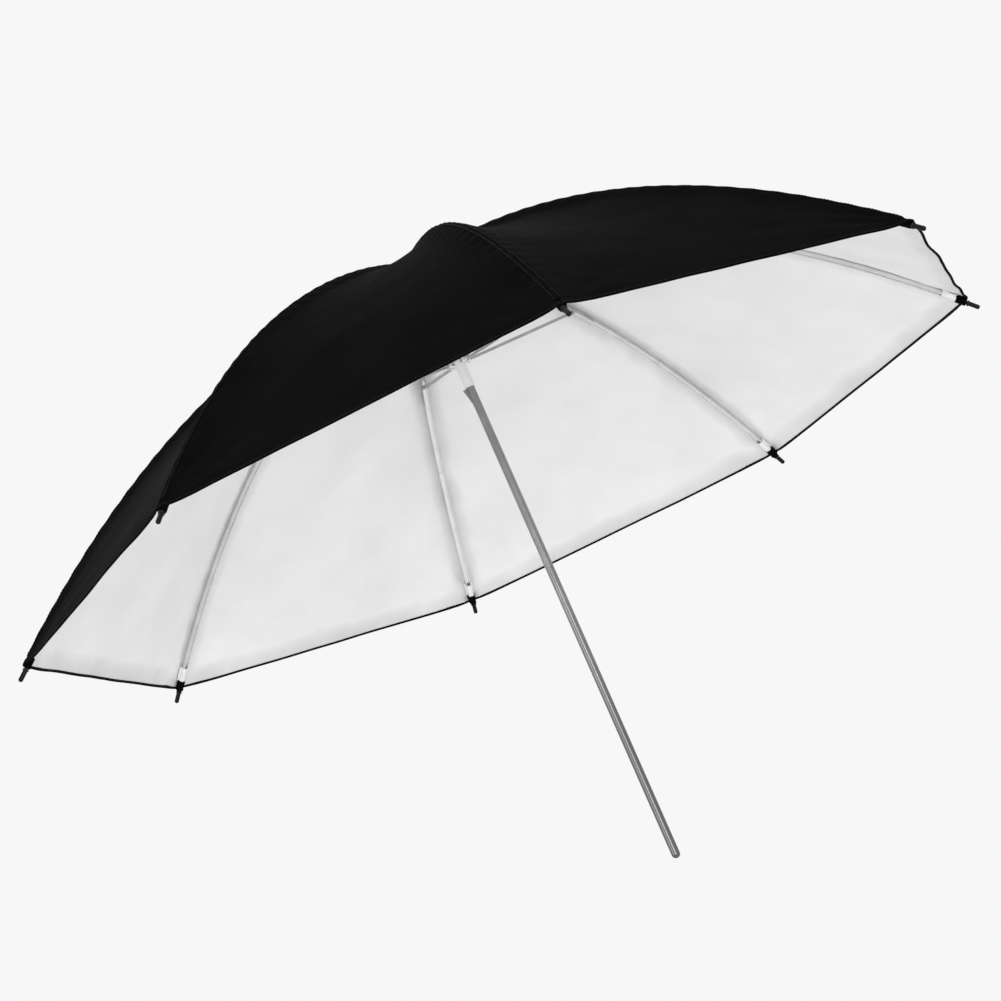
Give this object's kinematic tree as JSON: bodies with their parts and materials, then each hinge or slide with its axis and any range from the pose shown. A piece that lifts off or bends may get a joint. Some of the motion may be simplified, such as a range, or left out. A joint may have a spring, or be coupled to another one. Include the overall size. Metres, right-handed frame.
{
  "type": "umbrella reflector",
  "caption": "Folding studio umbrella reflector: black-backed silver canopy on hinged ribs and stretchers, a sliding runner with a spring catch, and a plain steel shaft for a clamp.",
  "frame": {"origin": "centre of the shaft's rounded butt end", "axes": "+Z along the shaft towards the canopy; +X through the first rib; the spring catch is on the -X side"},
  "size_m": [0.9776, 0.9776, 0.6226],
  "materials": {
    "canopy_cloth": "closely woven black cloth, with a silver reflective coating on its inner side",
    "black_cloth": "closely woven black cloth",
    "shaft_steel": "drawn steel tube, satin nickel",
    "rib_steel": "rolled steel channel, bright zinc",
    "rivet_steel": "bright steel",
    "spring_steel": "hardened spring steel, slightly dark",
    "hub_metal": "die-cast, satin",
    "runner_sleeve": "smooth white nylon",
    "black_plastic": "smooth black moulding"
  },
  "bodies": {
    "shaft": {"shaft_tube": "shaft_steel", "shaft_end_plug": "shaft_steel", "crown_hub": "hub_metal", "crown_pin": "rivet_steel", "crown_wire": "rivet_steel", "canopy_rosette": "black_cloth", "top_ferrule": "black_plastic", "catch_pin": "rivet_steel"},
    "runner": {"runner_hub": "hub_metal", "runner_tube": "runner_sleeve", "runner_wire": "rivet_steel"},
    "catch": {"catch_spring": "spring_steel"},
    "rib_arm_1": {"rib_1": "rib_steel", "rib_saddle_1": "rib_steel", "joint_rivet_1": "rivet_steel", "rib_tip_1": "black_plastic", "canopy_gore_1": "canopy_cloth"},
    "stretcher_1": {"strut_1": "rib_steel"},
    "rib_arm_2": {"rib_2": "rib_steel", "rib_saddle_2": "rib_steel", "joint_rivet_2": "rivet_steel", "rib_tip_2": "black_plastic", "canopy_gore_2": "canopy_cloth"},
    "stretcher_2": {"strut_2": "rib_steel"},
    "rib_arm_3": {"rib_3": "rib_steel", "rib_saddle_3": "rib_steel", "joint_rivet_3": "rivet_steel", "rib_tip_3": "black_plastic", "canopy_gore_3": "canopy_cloth"},
    "stretcher_3": {"strut_3": "rib_steel"},
    "rib_arm_4": {"rib_4": "rib_steel", "rib_saddle_4": "rib_steel", "joint_rivet_4": "rivet_steel", "rib_tip_4": "black_plastic", "canopy_gore_4": "canopy_cloth"},
    "stretcher_4": {"strut_4": "rib_steel"},
    "rib_arm_5": {"rib_5": "rib_steel", "rib_saddle_5": "rib_steel", "joint_rivet_5": "rivet_steel", "rib_tip_5": "black_plastic", "canopy_gore_5": "canopy_cloth"},
    "stretcher_5": {"strut_5": "rib_steel"},
    "rib_arm_6": {"rib_6": "rib_steel", "rib_saddle_6": "rib_steel", "joint_rivet_6": "rivet_steel", "rib_tip_6": "black_plastic", "canopy_gore_6": "canopy_cloth"},
    "stretcher_6": {"strut_6": "rib_steel"},
    "rib_arm_7": {"rib_7": "rib_steel", "rib_saddle_7": "rib_steel", "joint_rivet_7": "rivet_steel", "rib_tip_7": "black_plastic", "canopy_gore_7": "canopy_cloth"},
    "stretcher_7": {"strut_7": "rib_steel"},
    "rib_arm_8": {"rib_8": "rib_steel", "rib_saddle_8": "rib_steel", "joint_rivet_8": "rivet_steel", "rib_tip_8": "black_plastic", "canopy_gore_8": "canopy_cloth"},
    "stretcher_8": {"strut_8": "rib_steel"}
  },
  "joints": [
    {"name": "rib_fold_1", "type": "hinge", "parent": "shaft", "child": "rib_arm_1", "pos_m": [0.0095, 0, 0.606], "axis": [0, 1, 0], "range_deg": [0, 63], "deforming": ["canopy_gore_1", "catch_spring"]},
    {"name": "rib_fold_2", "type": "hinge", "parent": "shaft", "child": "rib_arm_2", "pos_m": [0.00672, 0.00672, 0.606], "axis": [-0.7071, 0.7071, 0], "range_deg": [0, 63], "deforming": ["canopy_gore_2"]},
    {"name": "rib_fold_3", "type": "hinge", "parent": "shaft", "child": "rib_arm_3", "pos_m": [0, 0.0095, 0.606], "axis": [-1, 0, 0], "range_deg": [0, 63], "deforming": ["canopy_gore_3"]},
    {"name": "rib_fold_4", "type": "hinge", "parent": "shaft", "child": "rib_arm_4", "pos_m": [-0.00672, 0.00672, 0.606], "axis": [-0.7071, -0.7071, 0], "range_deg": [0, 63], "deforming": ["canopy_gore_4"]},
    {"name": "rib_fold_5", "type": "hinge", "parent": "shaft", "child": "rib_arm_5", "pos_m": [-0.0095, 0, 0.606], "axis": [0, -1, 0], "range_deg": [0, 63], "deforming": ["canopy_gore_5"]},
    {"name": "rib_fold_6", "type": "hinge", "parent": "shaft", "child": "rib_arm_6", "pos_m": [-0.00672, -0.00672, 0.606], "axis": [0.7071, -0.7071, 0], "range_deg": [0, 63], "deforming": ["canopy_gore_6"]},
    {"name": "rib_fold_7", "type": "hinge", "parent": "shaft", "child": "rib_arm_7", "pos_m": [0, -0.0095, 0.606], "axis": [1, 0, 0], "range_deg": [0, 63], "deforming": ["canopy_gore_7"]},
    {"name": "rib_fold_8", "type": "hinge", "parent": "shaft", "child": "rib_arm_8", "pos_m": [0.00672, -0.00672, 0.606], "axis": [0.7071, 0.7071, 0], "range_deg": [0, 63], "deforming": ["canopy_gore_8"]},
    {"name": "stretcher_swing_1", "type": "hinge", "parent": "rib_arm_1", "child": "stretcher_1", "pos_m": [0.21691, 0, 0.55736], "axis": [0, 1, 0], "range_deg": [-126, 0]},
    {"name": "runner_travel", "type": "hinge", "parent": "stretcher_1", "child": "runner", "pos_m": [0.0095, 0, 0.50873], "axis": [0, 1, 0], "range_deg": [0, 63]},
    {"name": "stretcher_swing_2", "type": "hinge", "parent": "runner", "child": "stretcher_2", "pos_m": [0.00672, 0.00672, 0.50873], "axis": [-0.7071, 0.7071, 0], "range_deg": [-63, 0]},
    {"name": "stretcher_swing_3", "type": "hinge", "parent": "runner", "child": "stretcher_3", "pos_m": [0, 0.0095, 0.50873], "axis": [-1, 0, 0], "range_deg": [-63, 0]},
    {"name": "stretcher_swing_4", "type": "hinge", "parent": "runner", "child": "stretcher_4", "pos_m": [-0.00672, 0.00672, 0.50873], "axis": [-0.7071, -0.7071, 0], "range_deg": [-63, 0]},
    {"name": "stretcher_swing_5", "type": "hinge", "parent": "runner", "child": "stretcher_5", "pos_m": [-0.0095, 0, 0.50873], "axis": [0, -1, 0], "range_deg": [-63, 0]},
    {"name": "stretcher_swing_6", "type": "hinge", "parent": "runner", "child": "stretcher_6", "pos_m": [-0.00672, -0.00672, 0.50873], "axis": [0.7071, -0.7071, 0], "range_deg": [-63, 0]},
    {"name": "stretcher_swing_7", "type": "hinge", "parent": "runner", "child": "stretcher_7", "pos_m": [0, -0.0095, 0.50873], "axis": [1, 0, 0], "range_deg": [-63, 0]},
    {"name": "stretcher_swing_8", "type": "hinge", "parent": "runner", "child": "stretcher_8", "pos_m": [0.00672, -0.00672, 0.50873], "axis": [0.7071, 0.7071, 0], "range_deg": [-63, 0]},
    {"name": "catch_press", "type": "hinge", "parent": "shaft", "child": "catch", "pos_m": [0, 0, 0.44003], "axis": [0, 1, 0], "range_deg": [0, 5.6], "stiffness_Nm_per_rad": 0.4, "springref_deg": -2.86}
  ],
  "couplings": [
    {"joint": "rib_fold_2", "follows": "rib_fold_1", "ratio": 1},
    {"joint": "rib_fold_3", "follows": "rib_fold_1", "ratio": 1},
    {"joint": "rib_fold_4", "follows": "rib_fold_1", "ratio": 1},
    {"joint": "rib_fold_5", "follows": "rib_fold_1", "ratio": 1},
    {"joint": "rib_fold_6", "follows": "rib_fold_1", "ratio": 1},
    {"joint": "rib_fold_7", "follows": "rib_fold_1", "ratio": 1},
    {"joint": "rib_fold_8", "follows": "rib_fold_1", "ratio": 1},
    {"joint": "stretcher_swing_1", "follows": "rib_fold_1", "ratio": -2},
    {"joint": "runner_travel", "follows": "rib_fold_1", "ratio": 1},
    {"joint": "stretcher_swing_2", "follows": "rib_fold_1", "ratio": -1},
    {"joint": "stretcher_swing_3", "follows": "rib_fold_1", "ratio": -1},
    {"joint": "stretcher_swing_4", "follows": "rib_fold_1", "ratio": -1},
    {"joint": "stretcher_swing_5", "follows": "rib_fold_1", "ratio": -1},
    {"joint": "stretcher_swing_6", "follows": "rib_fold_1", "ratio": -1},
    {"joint": "stretcher_swing_7", "follows": "rib_fold_1", "ratio": -1},
    {"joint": "stretcher_swing_8", "follows": "rib_fold_1", "ratio": -1}
  ]
}
